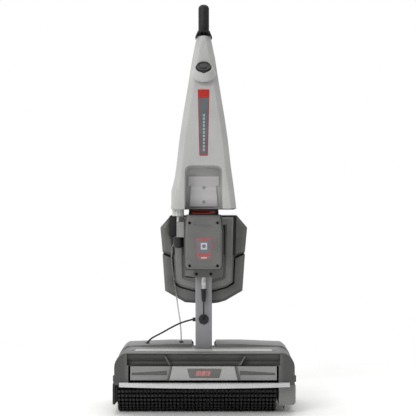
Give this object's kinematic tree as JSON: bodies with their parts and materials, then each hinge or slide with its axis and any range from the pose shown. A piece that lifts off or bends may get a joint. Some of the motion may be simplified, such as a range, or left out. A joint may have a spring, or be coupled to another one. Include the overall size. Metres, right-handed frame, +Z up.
{
  "type": "upright floor scrubber",
  "caption": "Upright battery floor scrubber: tapered water tank and control box on a tilting post, contra-rotating cylindrical brushes, pull-out recovery tray.",
  "frame": {"origin": "on the floor below the middle of the post's foot, with the post upright", "axes": "+X to the right seen from the front, -Y to the front, +Z up along the post"},
  "size_m": [0.494, 0.334, 1.124],
  "materials": {
    "base_dark_plastic": "fine moulded texture",
    "cover_grey_plastic": "fine moulded texture",
    "light_grey_plastic": "satin moulded polyethylene",
    "black_plastic": "fine matte",
    "bristle_nylon": "nylon bristles",
    "steel_post": "satin grey powder coat",
    "aluminium": "brushed",
    "zinc_steel": "zinc plated",
    "gear_nylon": "natural nylon",
    "painted_casing": "satin paint",
    "rubber_black": "soft matte",
    "box_grey": "fine moulded texture",
    "panel_red": "gloss membrane",
    "clear_hose": "clear PVC",
    "board_green": "solder mask"
  },
  "bodies": {
    "base": {"gear_case": "painted_casing", "gear_case_cover": "painted_casing", "bearing_bushes": "zinc_steel", "left_end_plate": "black_plastic", "deck_plate": "zinc_steel", "rear_crossmember": "zinc_steel", "brush_motor": "painted_casing", "hood": "base_dark_plastic", "top_trim": "light_grey_plastic", "base_screws": "zinc_steel", "bumper": "aluminium", "rear_cover": "cover_grey_plastic", "cover_grommets": "rubber_black", "spray_bar": "aluminium", "hinge_fork_and_pin": "zinc_steel", "wheel_brackets": "zinc_steel"},
    "front_brush": {"front_brush_core": "black_plastic", "front_brush_bristles": "bristle_nylon"},
    "rear_brush": {"rear_brush_core": "black_plastic", "rear_brush_bristles": "bristle_nylon"},
    "pickup_drum": {"pickup_drum": "aluminium"},
    "front_idler": {"front_idler_gear": "gear_nylon"},
    "rear_idler": {"rear_idler_gear": "gear_nylon"},
    "motor_idler": {"motor_idler_gear": "gear_nylon"},
    "motor_rotor": {"motor_pinion": "zinc_steel"},
    "recovery_tray": {"recovery_tray": "light_grey_plastic", "tray_ribs": "base_dark_plastic"},
    "left_knob": {"left_side_knob": "black_plastic"},
    "right_knob": {"right_side_knob": "black_plastic"},
    "left_wheel": {"left_transport_wheel": "rubber_black"},
    "right_wheel": {"right_transport_wheel": "rubber_black"},
    "column": {"post": "steel_post", "post_foot_lug": "zinc_steel", "post_grommets": "rubber_black", "collar": "black_plastic", "grip": "rubber_black", "solution_tank": "light_grey_plastic", "tank_outlet": "light_grey_plastic", "mounting_plates": "aluminium", "control_box": "box_grey", "control_box_cover": "box_grey", "circuit_board": "board_green", "keypad_housing": "black_plastic", "clamp_bracket": "box_grey", "control_connector": "zinc_steel", "column_screws": "black_plastic", "pump_block": "light_grey_plastic", "pump_head": "black_plastic", "battery_dock": "cover_grey_plastic", "solution_hose": "clear_hose", "motor_cable": "rubber_black", "control_cable": "rubber_black"},
    "grip_button": {"grip_button": "light_grey_plastic"},
    "filler_cap": {"filler_cap": "black_plastic"},
    "battery": {"battery_pack": "base_dark_plastic", "battery_cells": "black_plastic"},
    "power_key": {"power_key": "panel_red"},
    "pump_key": {"pump_key": "panel_red"},
    "speed_key": {"speed_key": "panel_red"},
    "reset_key": {"reset_key": "panel_red"}
  },
  "joints": [
    {"name": "front_brush_spin", "type": "hinge", "parent": "base", "child": "front_brush", "pos_m": [0, -0.062, 0.055], "axis": [1, 0, 0], "continuous": true},
    {"name": "rear_brush_spin", "type": "hinge", "parent": "base", "child": "rear_brush", "pos_m": [0, 0.062, 0.055], "axis": [1, 0, 0], "continuous": true},
    {"name": "pickup_drum_spin", "type": "hinge", "parent": "base", "child": "pickup_drum", "pos_m": [0, 0, 0.10083], "axis": [1, 0, 0], "continuous": true},
    {"name": "front_idler_spin", "type": "hinge", "parent": "base", "child": "front_idler", "pos_m": [0, -0.02, 0.055], "axis": [1, 0, 0], "continuous": true},
    {"name": "rear_idler_spin", "type": "hinge", "parent": "base", "child": "rear_idler", "pos_m": [0, 0.02, 0.055], "axis": [1, 0, 0], "continuous": true},
    {"name": "motor_idler_spin", "type": "hinge", "parent": "base", "child": "motor_idler", "pos_m": [0, 0.082, 0.10083], "axis": [1, 0, 0], "continuous": true},
    {"name": "motor_spin", "type": "hinge", "parent": "base", "child": "motor_rotor", "pos_m": [0, 0.098, 0.13749], "axis": [1, 0, 0], "continuous": true},
    {"name": "left_wheel_spin", "type": "hinge", "parent": "base", "child": "left_wheel", "pos_m": [-0.16, 0.146, 0.031], "axis": [1, 0, 0], "continuous": true},
    {"name": "right_wheel_spin", "type": "hinge", "parent": "base", "child": "right_wheel", "pos_m": [0.16, 0.146, 0.031], "axis": [1, 0, 0], "continuous": true},
    {"name": "tray_slide", "type": "slide", "parent": "base", "child": "recovery_tray", "axis": [0, -1, 0], "range_m": [0, 0.16]},
    {"name": "left_knob_turn", "type": "hinge", "parent": "base", "child": "left_knob", "pos_m": [-0.24, -0.119, 0.096], "axis": [-1, 0, 0], "range_deg": [0, 90]},
    {"name": "right_knob_turn", "type": "hinge", "parent": "base", "child": "right_knob", "pos_m": [0.245, -0.119, 0.096], "axis": [1, 0, 0], "range_deg": [0, 90]},
    {"name": "column_tilt", "type": "hinge", "parent": "base", "child": "column", "pos_m": [0, 0, 0.146], "axis": [-1, 0, 0], "range_deg": [0, 65], "deforming": ["solution_hose", "motor_cable"]},
    {"name": "grip_button_press", "type": "slide", "parent": "column", "child": "grip_button", "axis": [0, 1, 0], "range_m": [0, 0.002], "stiffness_N_per_m": 900, "springref_m": -0.001},
    {"name": "filler_cap_lift", "type": "slide", "parent": "column", "child": "filler_cap", "axis": [0, -0.7071, 0.7071], "range_m": [0, 0.06]},
    {"name": "battery_lift", "type": "slide", "parent": "column", "child": "battery", "axis": [0, 0, 1], "range_m": [0, 0.16]},
    {"name": "power_key_press", "type": "slide", "parent": "column", "child": "power_key", "axis": [0, 0.3328, -0.943], "range_m": [0, 0.0005], "stiffness_N_per_m": 900, "springref_m": -0.001},
    {"name": "pump_key_press", "type": "slide", "parent": "column", "child": "pump_key", "axis": [0, 0.3328, -0.943], "range_m": [0, 0.0005], "stiffness_N_per_m": 900, "springref_m": -0.001},
    {"name": "speed_key_press", "type": "slide", "parent": "column", "child": "speed_key", "axis": [0, 0.3328, -0.943], "range_m": [0, 0.0005], "stiffness_N_per_m": 900, "springref_m": -0.001},
    {"name": "reset_key_press", "type": "slide", "parent": "column", "child": "reset_key", "axis": [0, 0.3328, -0.943], "range_m": [0, 0.0005], "stiffness_N_per_m": 900, "springref_m": -0.001}
  ],
  "couplings": [
    {"joint": "rear_brush_spin", "follows": "front_brush_spin", "ratio": -1},
    {"joint": "front_idler_spin", "follows": "front_brush_spin", "ratio": -1.1},
    {"joint": "rear_idler_spin", "follows": "front_brush_spin", "ratio": 1.1},
    {"joint": "motor_idler_spin", "follows": "front_brush_spin", "ratio": 0.78571},
    {"joint": "motor_spin", "follows": "front_brush_spin", "ratio": -1.8333},
    {"joint": "pickup_drum_spin", "follows": "front_brush_spin", "ratio": -0.51765}
  ]
}
